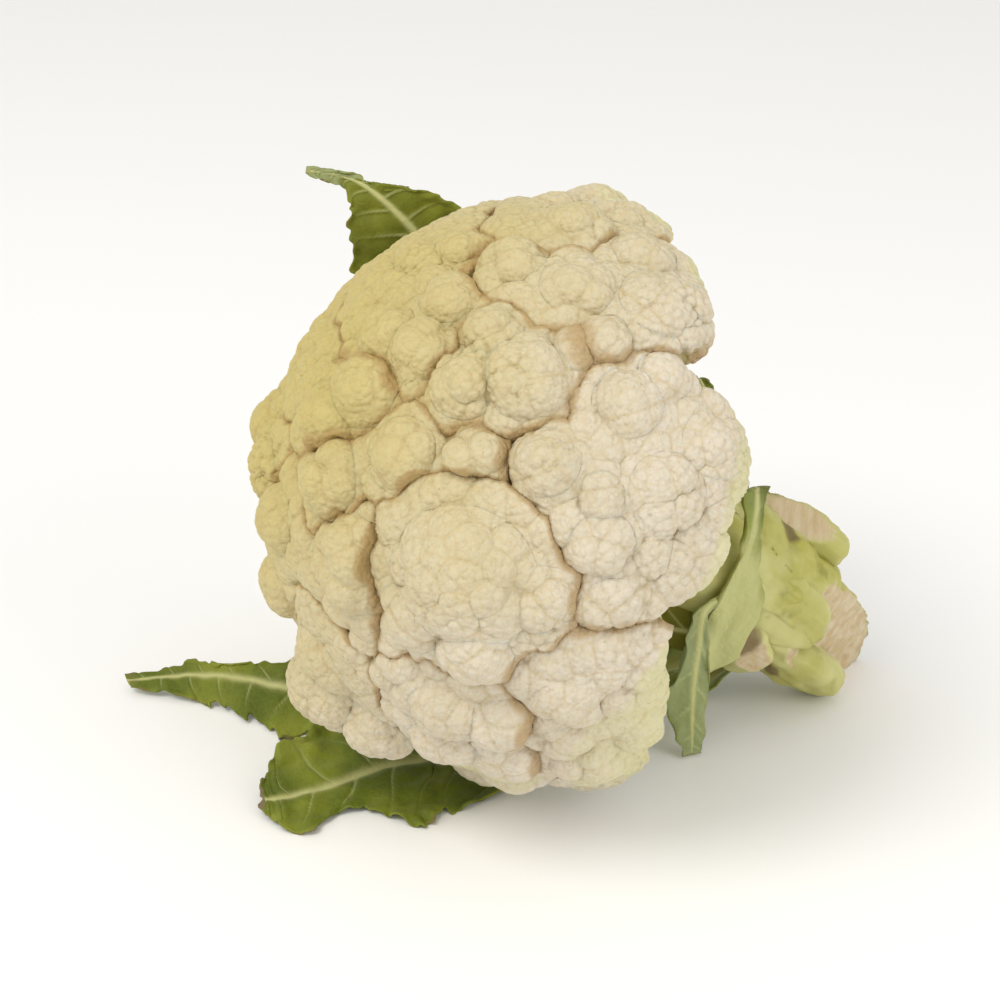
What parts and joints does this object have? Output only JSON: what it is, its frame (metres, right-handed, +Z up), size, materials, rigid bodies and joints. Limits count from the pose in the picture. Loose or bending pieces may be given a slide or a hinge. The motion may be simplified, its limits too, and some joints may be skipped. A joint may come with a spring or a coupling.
{
  "type": "cauliflower",
  "caption": "Whole trimmed cauliflower lying on its side, its stalk cut short, with a few of its outer leaves left on it.",
  "frame": {"origin": "on the table under the middle of the bounding box", "axes": "+X towards the cut end of the stalk, +Y towards the leaf that stands behind the head, +Z up"},
  "size_m": [0.2384, 0.1853, 0.1737],
  "materials": {
    "curd": "matte",
    "stalk": "satin",
    "leaf": "satin"
  },
  "bodies": {
    "root": {"floret_front": "curd", "floret_right": "curd", "floret_top": "curd", "floret_upper_right": "curd", "floret_upper_middle": "curd", "floret_upper_left": "curd", "floret_left": "curd", "floret_far_left": "curd", "floret_crown": "curd", "floret_middle_left": "curd", "floret_lower_left": "curd", "floret_bottom": "curd", "floret_bottom_right": "curd", "floret_back_top": "curd", "floret_back_left_top": "curd", "floret_back_left": "curd", "floret_back_low": "curd", "floret_under_left": "curd", "stalk": "stalk", "stump_top": "stalk", "stump_front": "stalk", "stump_low": "stalk", "stump_under": "stalk", "stump_back": "stalk", "stump_back_low": "stalk", "leaf_front": "leaf", "leaf_left": "leaf", "leaf_back": "leaf", "leaf_hanging": "leaf", "leaf_side": "leaf", "leaf_inner": "leaf", "leaf_under": "leaf"}
  },
  "joints": []
}
